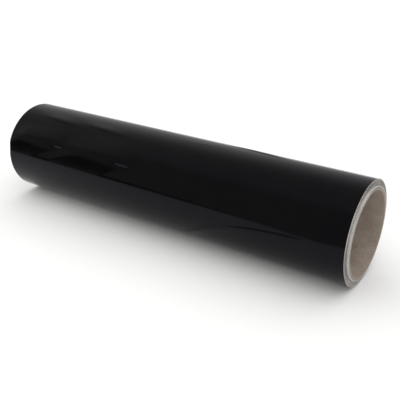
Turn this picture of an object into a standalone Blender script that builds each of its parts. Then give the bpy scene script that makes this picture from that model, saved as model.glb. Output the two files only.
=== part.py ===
"""Roll of self-adhesive sign vinyl: a paperboard core with a film and liner web wound on it.

The roll lies on its side with its axis along X. +Z is up and the tail of the web hangs
at the back, on +Y. Angles are measured about the roll's axis from +Y towards +Z, and the
web winds outwards over the top and down the back, so the angle falls along the web.
Every layer is cut into facets at the same angles, so that nested layers stay clear of
each other however thin the gap between them is.
"""

import math

import bmesh
import bpy

MM = 0.001

# the core tube
CORE_LENGTH = 308 * MM
BORE_RADIUS = 30 * MM
PLY_COUNT = 6
PLY_PITCH = 0.4 * MM
PLY_GAP = 0.02 * MM
CORE_RADIUS = BORE_RADIUS + PLY_COUNT * PLY_PITCH

# the web: a paper liner with the film's adhesive side on it
WEB_WIDTH = 305 * MM
WEB_LENGTH = 5000 * MM
LINER_THICKNESS = 0.085 * MM
FILM_THICKNESS = 0.085 * MM
LAYER_GAP = 0.01 * MM
WEB_PITCH = LINER_THICKNESS + FILM_THICKNESS + 2 * LAYER_GAP

# the tape between the core and the first edge of the web
START_TAPE_THICKNESS = 0.1 * MM
START_TAPE_FACETS = 3

# the facets that every layer shares
FACETS = 36
FACET = 2 * math.pi / FACETS
FACET_OFFSET = FACET / 2

# the tail of the web, in degrees about the roll's axis
TAIL_END = -15
TAIL_ARC = 70
FLAP_ARC = 30
SPLIT_GAP = 0.05 * MM

# the clear tape that holds the tail down
TAPE_WIDTH = 19 * MM
TAPE_THICKNESS = 0.05 * MM
TAPE_START = 5
TAPE_END = -45

# colours, as linear RGB
PAPERBOARD = (0.36, 0.28, 0.20)
INNER_PAPER = (0.42, 0.34, 0.26)
LINER_PAPER = (0.72, 0.71, 0.68)
BLACK_FILM = (0.012, 0.012, 0.014)
TAPE_AMBER = (0.62, 0.52, 0.34)
TAPE_CLEAR = (0.85, 0.85, 0.82)


def make_collection(name):
    """A new collection in the scene."""
    collection = bpy.data.collections.new(name)
    bpy.context.scene.collection.children.link(collection)
    return collection


def make_material(name, colour, roughness, alpha=1.0):
    """A Principled material of one colour."""
    material = bpy.data.materials.new(name)
    material.use_nodes = True
    shader = material.node_tree.nodes["Principled BSDF"]
    shader.inputs["Base Color"].default_value = (*colour, 1)
    shader.inputs["Roughness"].default_value = roughness
    shader.inputs["Metallic"].default_value = 0
    shader.inputs["Alpha"].default_value = alpha
    return material


def web_end_radius():
    """Radius of the liner's inner face at the far end, where the film's middle line is its length.

    A faceted turn is a little longer than a round one of the same facet radius.
    """
    middle = layer_heights()[1]
    stretch = math.tan(FACET / 2) / (FACET / 2)
    round_length = WEB_LENGTH / stretch
    squared = (web_start_radius() + middle) ** 2 + round_length * WEB_PITCH / math.pi
    return math.sqrt(squared) - middle


def web_start_radius():
    """Radius of the liner's inner face at the first edge of the web, over the start tape."""
    return CORE_RADIUS + START_TAPE_THICKNESS + 2 * LAYER_GAP


def web_radius(angle):
    """Radius of the liner's inner face at an unwound angle, which is TAIL_END at the far end."""
    turns_from_end = (angle - math.radians(TAIL_END)) / (2 * math.pi)
    return web_end_radius() - WEB_PITCH * turns_from_end


def web_start_angle():
    """The unwound angle of the web's first edge, on a facet corner."""
    turns = (web_end_radius() - web_start_radius()) / WEB_PITCH
    facets = math.floor(turns * FACETS)
    return math.radians(TAIL_END) + facets * FACET


def spiral(start, end, height):
    """Points along the web from one unwound angle down to another, at a height over the liner."""
    steps = round((start - end) / FACET)
    points = []
    for step in range(steps + 1):
        angle = start - step * FACET
        radius = (web_radius(angle) + height) / math.cos(FACET / 2)
        points.append((radius * math.cos(angle), radius * math.sin(angle)))
    return points


def pull_back_start(points, gap):
    """The same points with the first one moved along the line by a gap."""
    (x0, y0), (x1, y1) = points[:2]
    share = gap / math.hypot(x1 - x0, y1 - y0)
    return [(x0 + (x1 - x0) * share, y0 + (y1 - y0) * share)] + points[1:]


def circle_arc(start, end, radius):
    """Facet corners on a circle of the given facet radius, from one angle down to another."""
    steps = round((start - end) / FACET)
    corner = radius / math.cos(FACET / 2)
    angles = [start - step * FACET for step in range(steps + 1)]
    return [(corner * math.cos(angle), corner * math.sin(angle)) for angle in angles]


def layer_heights():
    """Mid heights of the liner and the film over the liner's inner face."""
    liner = LINER_THICKNESS / 2
    film = LINER_THICKNESS + LAYER_GAP + FILM_THICKNESS / 2
    return liner, film


def film_outer_radius(angle):
    """Facet radius of the film's gloss face at an unwound angle."""
    return web_radius(angle) + LINER_THICKNESS + LAYER_GAP + FILM_THICKNESS


def tape_points():
    """The closing tape's middle line: over the flap's end, then down to the turn below it."""
    middle = LAYER_GAP + TAPE_THICKNESS / 2
    points = []
    steps = round(math.radians(TAPE_START - TAPE_END) / FACET)
    for step in range(steps + 1):
        angle = math.radians(TAPE_START) - step * FACET
        past_edge = angle < math.radians(TAIL_END) - FACET / 2
        under = angle + 2 * math.pi if past_edge else angle
        radius = (film_outer_radius(under) + middle) / math.cos(FACET / 2)
        points.append((radius * math.cos(angle), radius * math.sin(angle)))
    return points


def resting_place(points):
    """Where the roll's axis lies when the box of these points is centred and stands on the floor."""
    widths = [y for y, z in points]
    heights = [z for y, z in points]
    return -(min(widths) + max(widths)) / 2, -min(heights)


def corner_points(points, half_thickness):
    """The outer corners of a layer whose middle line has these points."""
    grown = []
    for y, z in points:
        radius = math.hypot(y, z)
        factor = (radius + half_thickness / math.cos(FACET / 2)) / radius
        grown.append((y * factor, z * factor))
    return grown


def make_strip(name, points, thickness, width, material, collection, axis_empty):
    """A strip of web: a ribbon along the points, given its thickness, across the roll."""
    curve = bpy.data.curves.new(name, "CURVE")
    curve.dimensions = "2D"
    curve.fill_mode = "NONE"
    curve.extrude = width / 2
    spline = curve.splines.new("POLY")
    spline.points.add(len(points) - 1)
    for point, (y, z) in zip(spline.points, points):
        point.co = (y, z, 0, 1)
    curve.materials.append(material)
    strip = bpy.data.objects.new(name, curve)
    collection.objects.link(strip)
    strip.parent = axis_empty
    wall = strip.modifiers.new("thickness", "SOLIDIFY")
    wall.thickness = thickness
    wall.offset = 0
    wall.use_even_offset = True
    return strip


def make_tube(name, inner, outer, length, material, collection, axis_empty):
    """A paperboard ply: a rectangular section turned about the roll's axis."""
    mesh = bpy.data.meshes.new(name)
    section = bmesh.new()
    scale = 1 / math.cos(FACET / 2)
    half = length / 2
    corners = [(outer, half), (outer, -half), (inner, -half), (inner, half)]
    ring = [section.verts.new((radius * scale, 0, along)) for radius, along in corners]
    for here, there in zip(ring, ring[1:] + ring[:1]):
        section.edges.new((here, there))
    section.to_mesh(mesh)
    section.free()
    mesh.materials.append(material)
    tube = bpy.data.objects.new(name, mesh)
    collection.objects.link(tube)
    tube.parent = axis_empty
    tube.rotation_euler = (0, 0, FACET_OFFSET)
    turn = tube.modifiers.new("turn", "SCREW")
    turn.axis = "Z"
    turn.steps = FACETS
    turn.render_steps = FACETS
    turn.use_merge_vertices = True
    turn.merge_threshold = 0.00001
    turn.use_smooth_shade = True
    return tube


def make_empty(name, collection, location, parent=None):
    """An empty that marks an axis or a joint."""
    empty = bpy.data.objects.new(name, None)
    collection.objects.link(empty)
    empty.parent = parent
    empty.location = location
    return empty


def make_core(collection, roll_axis):
    """The core's glued plies, each a little longer than the web is wide."""
    body = make_material("core_paperboard", PAPERBOARD, 0.9)
    lining = make_material("core_lining", INNER_PAPER, 0.85)
    for ply in range(PLY_COUNT):
        inner = BORE_RADIUS + ply * PLY_PITCH
        outer = inner + PLY_PITCH - PLY_GAP
        material = lining if ply == 0 else body
        make_tube(f"core_ply_{ply + 1}", inner, outer, CORE_LENGTH, material, collection, roll_axis)


def make_start_tape(collection, roll_axis):
    """The tape under the web's first edge."""
    start = web_start_angle()
    middle = CORE_RADIUS + LAYER_GAP + START_TAPE_THICKNESS / 2
    points = circle_arc(start, start - START_TAPE_FACETS * FACET, middle)
    material = make_material("start_tape", TAPE_AMBER, 0.4)
    make_strip(
        "start_tape", points, START_TAPE_THICKNESS, WEB_WIDTH, material, collection, roll_axis
    )


def web_lines():
    """The middle line of each piece of the web, and of the closing tape."""
    liner, film = layer_heights()
    first = web_start_angle()
    last = math.radians(TAIL_END)
    root = last + math.radians(TAIL_ARC)
    peel = last + math.radians(FLAP_ARC)
    return {
        "liner_winding": spiral(first, root, liner),
        "film_winding": spiral(first, root, film),
        "liner_tail": pull_back_start(spiral(root, last, liner), SPLIT_GAP),
        "film_tail": pull_back_start(spiral(root, peel, film), SPLIT_GAP),
        "film_flap": pull_back_start(spiral(peel, last, film), SPLIT_GAP),
        "closing_tape": tape_points(),
    }


def hinge_points():
    """Where the tail, the flap and the tape hinge: on the outer face, at their first edge."""
    last = math.radians(TAIL_END)
    places = {}
    for name, arc in (("tail_hinge", TAIL_ARC), ("flap_hinge", FLAP_ARC)):
        angle = last + math.radians(arc)
        radius = film_outer_radius(angle) / math.cos(FACET / 2)
        places[name] = (radius * math.cos(angle), radius * math.sin(angle))
    y, z = corner_points(tape_points(), TAPE_THICKNESS / 2)[0]
    places["tape_hinge"] = (y, z)
    return places


def make_web(collection, roll_axis):
    """The liner, the film and the closing tape, each moving piece under its hinge's empty."""
    liner = make_material("liner_paper", LINER_PAPER, 0.6)
    film = make_material("black_film", BLACK_FILM, 0.12)
    tape = make_material("clear_tape", TAPE_CLEAR, 0.15, alpha=0.3)
    looks = {"liner": (liner, LINER_THICKNESS), "film": (film, FILM_THICKNESS)}
    hinges = hinge_points()
    tail = make_empty("tail_hinge", collection, (*hinges["tail_hinge"], 0), roll_axis)
    flap = make_empty("flap_hinge", collection, (*hinges["flap_hinge"], 0), roll_axis)
    pull = make_empty("tape_hinge", collection, (*hinges["tape_hinge"], 0), roll_axis)
    parents = {"liner_tail": tail, "film_tail": tail, "film_flap": flap, "closing_tape": pull}
    for name, points in web_lines().items():
        parent = parents.get(name, roll_axis)
        if parent is not roll_axis:
            points = [(y - parent.location.x, z - parent.location.y) for y, z in points]
        if name == "closing_tape":
            material, thickness, width = tape, TAPE_THICKNESS, TAPE_WIDTH
        else:
            material, thickness = looks[name.split("_")[0]]
            width = WEB_WIDTH
        make_strip(name, points, thickness, width, material, collection, parent)


def main():
    for item in list(bpy.data.objects):
        bpy.data.objects.remove(item, do_unlink=True)
    collection = make_collection("roll_of_sign_vinyl")
    lines = web_lines()
    outline = corner_points(lines["closing_tape"], TAPE_THICKNESS / 2)
    for name in ("film_winding", "film_tail", "film_flap"):
        outline += corner_points(lines[name], FILM_THICKNESS / 2)
    axis_y, axis_z = resting_place(outline)
    # the empty's X, Y and Z lie along the world's Y, Z and X
    roll_axis = make_empty("roll_axis", collection, (0, axis_y, axis_z))
    roll_axis.rotation_euler = (math.pi / 2, 0, math.pi / 2)
    make_core(collection, roll_axis)
    make_start_tape(collection, roll_axis)
    make_web(collection, roll_axis)


main()
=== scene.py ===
"""The looks of a roll of black sign vinyl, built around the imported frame."""
import math

import bmesh
import bpy
import numpy as np
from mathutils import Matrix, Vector


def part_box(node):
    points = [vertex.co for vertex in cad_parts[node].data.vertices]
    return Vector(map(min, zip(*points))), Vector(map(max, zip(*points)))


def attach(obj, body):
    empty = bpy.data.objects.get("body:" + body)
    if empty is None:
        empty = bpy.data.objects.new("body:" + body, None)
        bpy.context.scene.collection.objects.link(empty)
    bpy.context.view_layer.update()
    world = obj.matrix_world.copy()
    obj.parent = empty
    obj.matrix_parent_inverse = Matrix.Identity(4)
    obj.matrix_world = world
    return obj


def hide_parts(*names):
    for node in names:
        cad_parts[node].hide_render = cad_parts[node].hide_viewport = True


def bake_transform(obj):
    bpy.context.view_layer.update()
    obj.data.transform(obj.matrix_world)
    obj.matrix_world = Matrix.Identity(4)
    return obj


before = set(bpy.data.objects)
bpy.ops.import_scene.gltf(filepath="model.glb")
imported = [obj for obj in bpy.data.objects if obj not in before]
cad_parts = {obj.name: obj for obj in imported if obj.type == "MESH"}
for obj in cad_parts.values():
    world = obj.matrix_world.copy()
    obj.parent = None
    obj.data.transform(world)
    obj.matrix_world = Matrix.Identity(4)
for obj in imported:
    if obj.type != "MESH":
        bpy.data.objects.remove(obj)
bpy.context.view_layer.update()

MM = 0.001
TURN = 2 * math.pi

# ---------------------------------------------------------------- the roll's own sizes
CORE_LOW, CORE_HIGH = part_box("core_ply_6")
AXIS_Y = (CORE_LOW[1] + CORE_HIGH[1]) / 2
AXIS_Z = (CORE_LOW[2] + CORE_HIGH[2]) / 2
CORE_HALF = CORE_HIGH[0]
WEB_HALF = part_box("film_winding")[1][0]
BORE_RADIUS = 30 * MM
PLY_COUNT = 6
PLY_PITCH = 0.4 * MM
PLY_WALL = 0.38 * MM
# how far a ply's strip climbs in a turn, the slit between its edges, where the first one starts
# below the core's end and how far each next one is shifted, as shares of the climb
PLY_CLIMB = 104 * MM
PLY_SLIT = 0.35 * MM
PLY_LEAD = 1.4
PLY_SHIFT = 0.37
PLY_STEPS_PER_TURN = 120
PLY_COLUMNS = 5

# the web: liner and film, 0.19 mm a turn, with the tail's places as angles about the axis
LINER = 0.085 * MM
FILM = 0.085 * MM
GAP = 0.01 * MM
PITCH = LINER + FILM + 2 * GAP
TAIL_END = math.radians(-15)
PEEL_LINE = math.radians(15)
TAIL_ROOT = math.radians(55)
TAPE_START = math.radians(5)
TAPE_END = math.radians(-45)
TAPE_HALF = 9.5 * MM
TAPE = 0.05 * MM
WEB_TURNS = 22 + 28 / 36

# the closing tape's mesh, the teeth of its cut ends and the arc over which it steps down
TAPE_STEPS = 50
TAPE_COLUMNS = 25
TAPE_TEETH = 6
TOOTH_ANGLE = math.radians(0.9)
STEP_DOWN_DEGREES = 5

# the step in degrees between the rows of each moving sheet, and the other sheets' mesh
TAIL_STEP_DEGREES = 1.0
TAIL_COLUMNS = 90
SHARP_ANGLE = math.radians(40)
# the film's gloss face at the tail's end, read from the CAD flap's highest reach towards +Y
FACE_AT_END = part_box("film_flap")[1][1] - AXIS_Y


# middle surfaces of the film and the liner below the film's gloss face
FILM_DEPTH = FILM / 2
LINER_DEPTH = FILM + GAP + LINER / 2


def face_radius(angle):
    """Radius of the film's gloss face at an unwound angle, which is TAIL_END at the far end."""
    return FACE_AT_END - PITCH * (angle - TAIL_END) / TURN


# ---------------------------------------------------------------- waves in the outer turn
MM_PER_DEGREE = FACE_AT_END / MM * math.radians(1)

# soft raised lines: their two ends as (mm along the roll, degrees about it), their height, their
# width on the lower side and on the upper side in mm, and the shares of the line over which
# they rise at its start and fade at its end
RIDGES = (
    (((-60, 30), (70, 24)), 0.12, 4.0, 4.0, 0.5, 0.5),
    (((20, 346), (120, 358)), 0.10, 3.0, 3.0, 0.5, 0.5),
    (((-130, 330), (-40, 318)), 0.10, 3.0, 3.0, 0.5, 0.5),
    (((-140, 110), (-74, 118)), 0.74, 1.5, 4.5, 0.5, 0.5),
    (((-90, 108), (-30, 116)), 0.74, 1.5, 4.5, 0.5, 0.5),
    (((-106, 149), (-78, 149)), 0.62, 1.05, 3.5, 0.5, 0.5),
    (((-39, 150), (-12, 150)), 0.62, 1.05, 3.5, 0.5, 0.5),
    (((84, 181), (156, 177)), 0.16, 3.5, 3.5, 0.4, 0.3),
    (((36, 74), (96, 82)), 0.50, 1.6, 4.0, 0.4, 0.4),
    (((-4, 97), (48, 90)), 0.12, 2.0, 2.0, 0.5, 0.5),
)

# the long crease climbs the roll's front from below and levels out along it: its two ends in mm,
# its level and how far below that it starts in degrees, and how fast it climbs
CREASE_ENDS = (22, 136)
CREASE_LEVEL = 175.5
CREASE_DROP = 50
CREASE_REACH = 32
CREASE_BEND = 1.1
CREASE_SHAPE = (0.50, 4.0, 0.95, 0.06, 0.5)
CREASE_POINTS = 40

# how far on each side of a place a line's corners are rounded, in mm
ROUNDING = 4

# loose places in the outer turn, each a facet that mirrors one direction: where it begins,
# stands furthest out and ends in mm along the roll, then its foot, crest and head in degrees
BULGES = (
    (-161, -130, -90, 171.3, 148.5, 124),
    (-107, -55, -19, 171.3, 149, 120),
)
# a facet's lift as a share of what makes it flat, and how fast its lower edge runs out
FLATNESS = 1.05
TAPER = 1.3

# the faint swell all over the outer turn, and where the film is held down, in mm and degrees
SWELL = 0.006
SWELL_FLOOR = 2.2
FLOOR_AT = 270
FLOOR_SPREAD = 40
TIGHT_ENDS = 14

# the outer turn's rows: each stretch's last angle in degrees and how many rows it has
OUTER_ROWS = ((228, 85), (106, 170), (55, 51))
OUTER_COLUMNS = 160


def smooth(share):
    """A share from 0 to 1, eased at both ends."""
    share = np.clip(share, 0, 1)
    return share * share * (3 - 2 * share)


def crease_path():
    """Places along the long crease, as (mm along the roll, degrees about it)."""
    along = np.linspace(*CREASE_ENDS, CREASE_POINTS)
    climbed = ((along - CREASE_ENDS[0]) / CREASE_REACH) ** CREASE_BEND
    return list(zip(along, CREASE_LEVEL + CREASE_DROP * np.exp(-climbed)))


def ridge(x, degrees, path, height, below, above, rise, fade):
    """A soft raised line along a path, its corners rounded off."""
    along, turns = zip(*path)
    steps = (-ROUNDING, 0, ROUNDING)
    before, here, after = (np.interp(x / MM + step, along, turns) for step in steps)
    slope = (after - before) / (2 * ROUNDING) * MM_PER_DEGREE
    off = (degrees - (before + here + after) / 3) * MM_PER_DEGREE / np.sqrt(1 + slope * slope)
    share = (x / MM - along[0]) / (along[-1] - along[0])
    strength = smooth(share / rise) * smooth((1 - share) / fade)
    return height * MM * strength * np.exp(-((off / np.where(off > 0, below, above)) ** 2))


def bulge(x, degrees, begin, peak, finish, foot, crest, head):
    """A loose place: a flat facet from its foot up to its crest, then an easy slope back."""
    x = x / MM
    left = np.clip((x - begin) / (peak - begin), 0, 1)
    right = np.clip((x - peak) / (finish - peak), 0, 1)
    inside = (x > begin) & (x < finish)
    top = np.where(x < peak, foot - (foot - crest) * (1 - (1 - left) ** 2), crest)
    low = foot - (foot - crest) * right ** TAPER
    reach = np.radians(np.clip(low - degrees, 0, np.maximum(low - top, 0)))
    jump = np.radians(foot - low)
    lift = FACE_AT_END * FLATNESS * (jump * reach + reach * reach / 2)
    fall = np.where(degrees < top, smooth((degrees - head) / (top - head)), 1.0)
    return np.where(inside, lift * fall, 0.0)


def waves(x, angle):
    """How far the outer turn's film stands off the turn below it, in metres, never inwards."""
    turn = np.mod(np.degrees(angle), 360)
    angle = np.radians(turn)
    lift = np.zeros(np.broadcast(x, angle).shape)
    for line in RIDGES + ((crease_path(), *CREASE_SHAPE),):
        lift = lift + ridge(x, turn, *line)
    # slow waves whose lengths don't share a rhythm
    swell = (
        np.sin(x / MM / 23.0 + 2.3 * np.sin(angle))
        * np.cos(3 * angle + x / MM / 61.0)
        + 0.7 * np.sin(x / MM / 13.7 + 4 * angle)
        + 0.5 * np.cos(x / MM / 41.0 - 7 * angle)
    )
    lift = lift + SWELL * MM * (swell + SWELL_FLOOR)
    # the roll's weight presses the film flat where it lies, and the ends stay nearly tight
    floor = np.clip(np.abs(turn - FLOOR_AT) / FLOOR_SPREAD - 0.5, 0, 1)
    ends = np.clip((WEB_HALF - np.abs(x)) / (TIGHT_ENDS * MM), 0, 1)
    lift = lift * floor * (0.6 + 0.4 * ends)
    for shape in BULGES:
        lift = lift + bulge(x, turn, *shape)
    return lift


def end_drift(angle, side, seed):
    """How far a turn's edge stands out of line with the others at one end, in metres."""
    turns = angle / TURN
    slow = 0.16 * math.sin(turns * 0.9 + side + seed)
    quick = 0.07 * math.sin(turns * 5.3 + 2 * side) + 0.05 * math.sin(turns * 11.7 + 3 * seed)
    # the paper of the last few turns stands a little proud of the film
    proud = 0.12 * float(smooth((4.5 - turns) / 1.5)) if seed else 0.0
    return (slow + quick + proud) * MM


# ---------------------------------------------------------------- mesh helpers
def new_object(name, mesh, material):
    """An object of a mesh, in the scene, with its material."""
    mesh.materials.append(material)
    piece = bpy.data.objects.new(name, mesh)
    bpy.context.scene.collection.objects.link(piece)
    return piece


def grid_mesh(name, points):
    """A sheet mesh from a rows x columns x 3 array."""
    rows, columns = points.shape[:2]
    mesh = bpy.data.meshes.new(name)
    index = np.arange(rows * columns).reshape(rows, columns)
    faces = np.stack([index[:-1, :-1], index[:-1, 1:], index[1:, 1:], index[1:, :-1]], axis=-1)
    mesh.from_pydata(points.reshape(-1, 3).tolist(), [], faces.reshape(-1, 4).tolist())
    mesh.validate()
    return mesh


def thicken(piece, thickness):
    """Gives a sheet its thickness, as final mesh, with smooth faces and sharp rims."""
    wall = piece.modifiers.new("thickness", "SOLIDIFY")
    wall.thickness = thickness
    wall.offset = 0
    wall.use_even_offset = True
    graph = bpy.context.evaluated_depsgraph_get()
    mesh = bpy.data.meshes.new_from_object(piece.evaluated_get(graph))
    old = piece.data
    piece.modifiers.clear()
    piece.data = mesh
    bpy.data.meshes.remove(old)
    mesh.shade_smooth()
    mesh.set_sharp_from_angle(angle=SHARP_ANGLE)
    return piece


def paint_edges(piece, material):
    """Gives the cut edges at both ends of a film piece a material of their own."""
    piece.data.materials.append(material)
    for face in piece.data.polygons:
        if abs(face.normal.x) > 0.7:
            face.material_index = 1


def even_rows(start, end, step_degrees=2.0):
    """Unwound angles from a start down to an end, in even steps."""
    steps = round(math.degrees(start - end) / step_degrees)
    return np.linspace(start, end, steps + 1)


def outer_rows():
    """Unwound angles of the outer turn, closest together where it faces the camera."""
    start = TAIL_ROOT + TURN
    rows = []
    for degrees, count in OUTER_ROWS:
        end = math.radians(degrees)
        rows.append(np.linspace(start, end, count, endpoint=False))
        start = end
    return np.concatenate(rows + [[start]])


def web_points(angles, depth, across, seed, wavy=0.0):
    """Points of a layer's middle surface at unwound angles, a depth below the gloss face."""
    points = np.zeros((len(angles), len(across), 3))
    for row, angle in enumerate(angles):
        x = np.array(across) * WEB_HALF
        x[-1] += end_drift(angle, 1, seed)
        x[0] -= end_drift(angle, 4, seed)
        radius = face_radius(angle) - depth + wavy * waves(x, angle)
        points[row, :, 0] = x
        points[row, :, 1] = AXIS_Y + radius * math.cos(angle)
        points[row, :, 2] = AXIS_Z + radius * math.sin(angle)
    return points


def web_piece(name, angles, depth, thickness, across, material, **kinds):
    """A stretch of the film or the liner as a solid sheet."""
    points = web_points(angles, depth, across, **kinds)
    return thicken(new_object(name, grid_mesh(name, points), material), thickness)


# ---------------------------------------------------------------- material helpers
def principled(name):
    """A new material with its nodes, its links and its Principled shader."""
    material = bpy.data.materials.new(name)
    material.use_nodes = True
    nodes, links = material.node_tree.nodes, material.node_tree.links
    shader = nodes["Principled BSDF"]
    return material, nodes, links, shader


def add_noise(nodes, links, vector, scale, detail=4.0, roughness=0.55):
    """A noise texture on the given coordinates."""
    noise = nodes.new("ShaderNodeTexNoise")
    noise.inputs["Scale"].default_value = scale
    noise.inputs["Detail"].default_value = detail
    noise.inputs["Roughness"].default_value = roughness
    links.new(vector, noise.inputs["Vector"])
    return noise.outputs["Fac"]


def stretched(nodes, links, scale):
    """Object coordinates stretched by a scale for each axis."""
    place = nodes.new("ShaderNodeTexCoord")
    mapping = nodes.new("ShaderNodeMapping")
    mapping.inputs["Scale"].default_value = scale
    links.new(place.outputs["Object"], mapping.inputs["Vector"])
    return mapping.outputs["Vector"]


def ramp(nodes, links, factor, stops):
    """A colour ramp: stops are (position, colour)."""
    node = nodes.new("ShaderNodeValToRGB")
    links.new(factor, node.inputs["Fac"])
    elements = node.color_ramp.elements
    while len(elements) < len(stops):
        elements.new(0.5)
    for element, (position, colour) in zip(elements, stops):
        element.position = position
        element.color = (*colour, 1)
    return node.outputs["Color"]


def spread(nodes, links, factor, low, high):
    """Maps the usual span of a noise factor to a range of values."""
    node = nodes.new("ShaderNodeMapRange")
    node.inputs["From Min"].default_value = 0.3
    node.inputs["From Max"].default_value = 0.7
    node.inputs["To Min"].default_value = low
    node.inputs["To Max"].default_value = high
    links.new(factor, node.inputs["Value"])
    return node.outputs["Result"]


def add_bump(nodes, links, height, distance, strength, under=None):
    """A bump node of a real height in metres."""
    node = nodes.new("ShaderNodeBump")
    node.inputs["Distance"].default_value = distance
    node.inputs["Strength"].default_value = strength
    links.new(height, node.inputs["Height"])
    if under is not None:
        links.new(under, node.inputs["Normal"])
    return node.outputs["Normal"]


def film_material():
    """PVC film: deep black and glossy, with a faint skin texture and fine lines around the roll."""
    material, nodes, links, shader = principled("black_vinyl")
    plain = stretched(nodes, links, (1, 1, 1))
    tone = add_noise(nodes, links, plain, 38, 3)
    dark, light = (0.0017, 0.0017, 0.0017), (0.0027, 0.0027, 0.0026)
    base = ramp(nodes, links, tone, [(0.3, dark), (0.7, light)])
    links.new(base, shader.inputs["Base Color"])
    haze = add_noise(nodes, links, stretched(nodes, links, (0.35, 1, 1)), 70, 5, 0.6)
    links.new(spread(nodes, links, haze, 0.075, 0.125), shader.inputs["Roughness"])
    skin = add_noise(nodes, links, plain, 900, 2)
    lines = add_noise(nodes, links, stretched(nodes, links, (1, 0.08, 0.08)), 260, 2)
    fine = add_bump(nodes, links, skin, 0.000006, 0.35)
    links.new(add_bump(nodes, links, lines, 0.00001, 0.25, fine), shader.inputs["Normal"])
    shader.inputs["Specular IOR Level"].default_value = 0.13
    shader.inputs["Specular Tint"].default_value = (0.83, 0.75, 1.0, 1)
    return material


def paper_material(name, low, high, rough, fibre=700, bump=0.00003, stretch=(1, 1, 1)):
    """Paper or paperboard: fibre streaks, cloudy tone and a soft felt surface."""
    material, nodes, links, shader = principled(name)
    vector = stretched(nodes, links, stretch)
    cloud = add_noise(nodes, links, vector, 90, 6, 0.65)
    fibres = add_noise(nodes, links, vector, fibre, 4, 0.7)
    mixed = nodes.new("ShaderNodeMix")
    mixed.data_type = "FLOAT"
    mixed.inputs["Factor"].default_value = 0.55
    links.new(cloud, mixed.inputs["A"])
    links.new(fibres, mixed.inputs["B"])
    value = mixed.outputs["Result"]
    links.new(ramp(nodes, links, value, [(0.36, low), (0.64, high)]), shader.inputs["Base Color"])
    links.new(spread(nodes, links, cloud, rough - 0.08, rough + 0.06), shader.inputs["Roughness"])
    links.new(add_bump(nodes, links, fibres, bump, 0.6), shader.inputs["Normal"])
    shader.inputs["Specular IOR Level"].default_value = 0.25
    return material


def tape_material():
    """Clear polypropylene tape, with the fine cross marks of its adhesive."""
    material, nodes, links, shader = principled("clear_tape_look")
    vector = stretched(nodes, links, (1, 1, 0.3))
    cloud = add_noise(nodes, links, vector, 260, 4, 0.6)
    base = ramp(nodes, links, cloud, [(0.3, (0.50, 0.50, 0.48)), (0.7, (0.66, 0.66, 0.64))])
    links.new(base, shader.inputs["Base Color"])
    links.new(spread(nodes, links, cloud, 0.08, 0.18), shader.inputs["Roughness"])
    links.new(add_bump(nodes, links, cloud, 0.00002, 0.4), shader.inputs["Normal"])
    shader.inputs["Alpha"].default_value = 0.055
    return material


# ---------------------------------------------------------------- the object's pieces
def make_plies(materials):
    """Each paperboard ply as the helical strip that it is, cut flush at both ends."""
    turns = (2 * CORE_HALF + 2 * PLY_CLIMB) / PLY_CLIMB
    steps = round(turns * PLY_STEPS_PER_TURN)
    angles = np.linspace(0, turns * TURN, steps + 1)
    across = np.linspace(0, PLY_CLIMB - PLY_SLIT, PLY_COLUMNS)
    for ply in range(PLY_COUNT):
        radius = BORE_RADIUS + ply * PLY_PITCH + PLY_WALL / 2
        start = -CORE_HALF - PLY_LEAD * PLY_CLIMB + (ply * PLY_SHIFT % 1) * PLY_CLIMB
        points = np.zeros((steps + 1, len(across), 3))
        points[:, :, 0] = start + angles[:, None] / TURN * PLY_CLIMB + across[None, :]
        points[:, :, 1] = AXIS_Y + radius * np.cos(angles)[:, None]
        points[:, :, 2] = AXIS_Z + radius * np.sin(angles)[:, None]
        name = f"core_ply_{ply + 1}_strip"
        mesh = grid_mesh(name, points)
        cut = bmesh.new()
        cut.from_mesh(mesh)
        for side in (-1, 1):
            bmesh.ops.bisect_plane(
                cut,
                geom=cut.verts[:] + cut.edges[:] + cut.faces[:],
                dist=1e-7,
                plane_co=(side * CORE_HALF, 0, 0),
                plane_no=(side, 0, 0),
                clear_outer=True,
            )
        cut.to_mesh(mesh)
        cut.free()
        piece = thicken(new_object(name, mesh, materials[ply]), PLY_WALL)
        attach(piece, "roll")
        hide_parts(f"core_ply_{ply + 1}")


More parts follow.
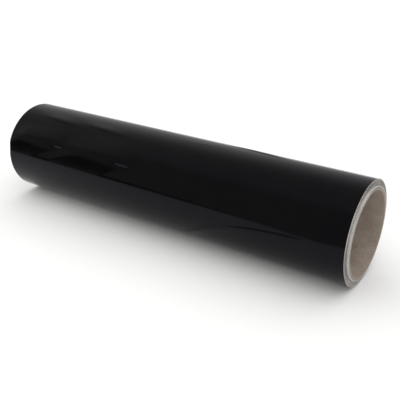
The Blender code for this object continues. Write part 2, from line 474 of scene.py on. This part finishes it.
def make_web(film, edge, liner):
    """The wound web, its dense outer turn, and the tail that leaves it."""
    first = TAIL_END + WEB_TURNS * TURN
    outer = TAIL_ROOT + TURN
    ends = (-1, -0.985, 0.985, 1)
    dense = np.linspace(-1, 1, OUTER_COLUMNS)
    tail_across = np.linspace(-1, 1, TAIL_COLUMNS)
    wound = web_piece(
        "film_turns", even_rows(first, outer), FILM_DEPTH, FILM, ends, film, seed=0
    )
    turn = web_piece(
        "film_outer_turn", outer_rows(), FILM_DEPTH, FILM, dense, film, seed=0, wavy=1.0
    )
    paper = web_piece(
        "liner_turns", even_rows(first, TAIL_ROOT), LINER_DEPTH, LINER, ends, liner, seed=0.4
    )
    paint_edges(wound, edge)
    paint_edges(turn, edge)
    for piece, node, finish in (
        (wound, "film_winding", "black_film"),
        (turn, "film_winding", "black_film"),
        (paper, "liner_winding", "liner_paper"),
    ):
        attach(piece, "roll")
        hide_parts(node)
    tail_film = web_piece(
        "film_tail_sheet", even_rows(TAIL_ROOT, PEEL_LINE, TAIL_STEP_DEGREES), FILM_DEPTH, FILM,
        tail_across, film, seed=0, wavy=1.0,
    )
    flap = web_piece(
        "film_flap_sheet", even_rows(PEEL_LINE, TAIL_END, TAIL_STEP_DEGREES), FILM_DEPTH, FILM,
        tail_across, film, seed=0, wavy=1.0,
    )
    tail_liner = web_piece(
        "liner_tail_sheet", even_rows(TAIL_ROOT, TAIL_END, TAIL_STEP_DEGREES), LINER_DEPTH, LINER,
        tail_across, liner, seed=0.4,
    )
    paint_edges(tail_film, edge)
    paint_edges(flap, edge)
    for piece, node, finish in (
        (tail_film, "film_tail", "black_film"),
        (tail_liner, "liner_tail", "liner_paper"),
    ):
        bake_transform(piece)
        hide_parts(node)
    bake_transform(flap)
    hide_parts("film_flap")


def make_tape(material):
    """The clear tape over the tail's end, with pinked short edges."""
    angles = np.linspace(TAPE_START, TAPE_END, TAPE_STEPS + 1)
    across = np.linspace(-1, 1, TAPE_COLUMNS)
    points = np.zeros((TAPE_STEPS + 1, len(across), 3))
    for row, angle in enumerate(angles):
        over = smooth(math.degrees(angle - TAIL_END) / STEP_DOWN_DEGREES + 1)
        top = face_radius(angle) * over + face_radius(angle + TURN) * (1 - over)
        teeth = np.abs(np.mod(across * TAPE_TEETH, 1) - 0.5) * TOOTH_ANGLE
        nudge = teeth * (1 if row == 0 else -1 if row == TAPE_STEPS else 0)
        x = across * TAPE_HALF
        radius = top + GAP + TAPE / 2 + waves(x, angle)
        points[row, :, 0] = x
        points[row, :, 1] = AXIS_Y + radius * np.cos(angle - nudge)
        points[row, :, 2] = AXIS_Z + radius * np.sin(angle - nudge)
    piece = thicken(new_object("tape_strip", grid_mesh("tape_strip", points), material), TAPE)
    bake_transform(piece)
    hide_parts("closing_tape")


def dress_frame(material):
    """The start tape's CAD solid stays, with a better material."""
    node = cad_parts["start_tape"]
    for slot in node.material_slots:
        slot.material = material
    if not node.material_slots:
        node.data.materials.append(material)


# ---------------------------------------------------------------- the studio
def make_floor():
    """A wide pale floor."""
    mesh = bpy.data.meshes.new("floor")
    disc = bmesh.new()
    bmesh.ops.create_circle(disc, cap_ends=True, radius=6.0, segments=96)
    disc.to_mesh(mesh)
    disc.free()
    material, nodes, links, shader = principled("floor_paper")
    shade = add_noise(nodes, links, stretched(nodes, links, (1, 1, 1)), 3, 2)
    base = ramp(nodes, links, shade, [(0.3, (0.86, 0.86, 0.86)), (0.7, (0.88, 0.88, 0.88))])
    links.new(base, shader.inputs["Base Color"])
    shader.inputs["Roughness"].default_value = 0.9
    shader.inputs["Specular IOR Level"].default_value = 0.1
    floor = new_object("floor", mesh, material)


def make_sun(name, direction, strength, spread_degrees):
    """A very soft sun from a direction, which doesn't show as a hot spot in the gloss."""
    light = bpy.data.lights.new(name, "SUN")
    light.energy = strength
    light.angle = math.radians(spread_degrees)
    lamp = bpy.data.objects.new(name, light)
    lamp.rotation_euler = Vector(direction).to_track_quat("Z", "Y").to_euler()
    lamp.visible_glossy = False
    bpy.context.scene.collection.objects.link(lamp)


# the room that the gloss reflects: brightness against the direction's turn about the roll's
# axis, from the horizon behind it (0) over the top (90) to the horizon in front (180)
ROOM = (
    (0, (0.66, 0.66, 0.67)),
    (40, (0.72, 0.72, 0.73)),
    (60, (0.55, 0.55, 0.54)),
    (76, (0.49, 0.49, 0.47)),
    (112, (0.55, 0.55, 0.52)),
    (120, (0.46, 0.455, 0.43)),
    (129, (0.335, 0.33, 0.31)),
    (180, (0.375, 0.37, 0.345)),
)


def make_world():
    """Pale for the eye, and a dim room for everything else."""
    world = bpy.data.worlds.new("studio")
    bpy.context.scene.world = world
    world.use_nodes = True
    nodes, links = world.node_tree.nodes, world.node_tree.links
    pale = nodes["Background"]
    pale.inputs["Color"].default_value = (1, 1, 1, 1)
    place = nodes.new("ShaderNodeTexCoord")
    split = nodes.new("ShaderNodeSeparateXYZ")
    links.new(place.outputs["Generated"], split.inputs["Vector"])
    turn = nodes.new("ShaderNodeMath")
    turn.operation = "ARCTAN2"
    links.new(split.outputs["Z"], turn.inputs[0])
    links.new(split.outputs["Y"], turn.inputs[1])
    share = nodes.new("ShaderNodeMath")
    share.operation = "DIVIDE"
    share.inputs[1].default_value = math.pi
    links.new(turn.outputs["Value"], share.inputs[0])
    stops = [(degrees / 180, glow) for degrees, glow in ROOM]
    dim = nodes.new("ShaderNodeBackground")
    links.new(ramp(nodes, links, share.outputs["Value"], stops), dim.inputs["Color"])
    path = nodes.new("ShaderNodeLightPath")
    mix = nodes.new("ShaderNodeMixShader")
    links.new(path.outputs["Is Camera Ray"], mix.inputs["Fac"])
    links.new(dim.outputs["Background"], mix.inputs[1])
    links.new(pale.outputs["Background"], mix.inputs[2])
    links.new(mix.outputs["Shader"], nodes["World Output"].inputs["Surface"])


# the cards' lower edge, just clear of the floor
CARD_FOOT = 0.6 * MM


def make_card(name, outline, place_y, glow):
    """An upright card that only reflections see, in front of the roll: its (x, top) outline."""
    low = [(x, place_y, CARD_FOOT) for x, top in outline]
    high = [(x, place_y, top) for x, top in outline]
    material = bpy.data.materials.new(name)
    material.use_nodes = True
    nodes, links = material.node_tree.nodes, material.node_tree.links
    nodes.clear()
    light = nodes.new("ShaderNodeEmission")
    light.inputs["Color"].default_value = (*glow, 1)
    out = nodes.new("ShaderNodeOutputMaterial")
    links.new(light.outputs["Emission"], out.inputs["Surface"])
    card = new_object(name, grid_mesh(name, np.array([low, high])), material)
    card.visible_camera = False
    card.visible_diffuse = False
    card.visible_shadow = False
    card.visible_transmission = False
    card.visible_volume_scatter = False


def make_cards():
    """The dim room beyond the table's front edge, and the dark edge itself."""
    make_card("room_front", ((-4.0, 0.3), (4.0, 0.3)), -0.2165, ROOM[-1][1])
    edge = ((-4.0, 0.021), (-0.16, 0.021), (-0.05, 0.011), (0.03, 0.001))
    make_card("table_edge", edge, -0.215, (0, 0, 0))


def make_camera():
    """The camera, where a fit of the roll's outline in the photo puts it."""
    from_centre = Vector((0.2644, -0.3576, 0.1914))
    centre = Vector((0, AXIS_Y, AXIS_Z))
    yaw, pitch = math.radians(34.28), math.radians(25.0)
    data = bpy.data.cameras.new("camera")
    data.sensor_width = 36
    data.lens = 55.62
    data.clip_start = 0.01
    camera = bpy.data.objects.new("camera", data)
    camera.location = centre + from_centre
    camera.rotation_euler = (math.pi / 2 - pitch, 0, yaw)
    bpy.context.scene.collection.objects.link(camera)
    bpy.context.scene.camera = camera


def main():
    make_camera()
    film = film_material()
    edge = paper_material(
        "film_edge_look", (0.07, 0.07, 0.07), (0.13, 0.12, 0.12), 0.6, 900, 0.00001
    )
    liner = paper_material(
        "liner_look", (0.56, 0.525, 0.495), (0.66, 0.625, 0.595), 0.55, 900, 0.00001
    )
    lining = paper_material("core_lining_look", (0.29, 0.235, 0.195), (0.42, 0.355, 0.305), 0.85)
    board = paper_material("core_board_look", (0.20, 0.175, 0.155), (0.32, 0.29, 0.265), 0.9, 1100)
    cover = paper_material("core_cover_look", (0.44, 0.43, 0.41), (0.66, 0.64, 0.62), 0.85, 900)
    start = paper_material("start_tape_look", (0.40, 0.30, 0.16), (0.52, 0.42, 0.26), 0.5)
    make_plies([lining, board, board, board, board, cover])
    make_web(film, edge, liner)
    make_tape(tape_material())
    dress_frame(start)
    make_floor()
    make_world()
    make_cards()
    make_sun("overhead", (-0.15, -0.25, 1.0), 2.5, 150)
    bpy.context.scene.view_settings.view_transform = "Standard"


main()
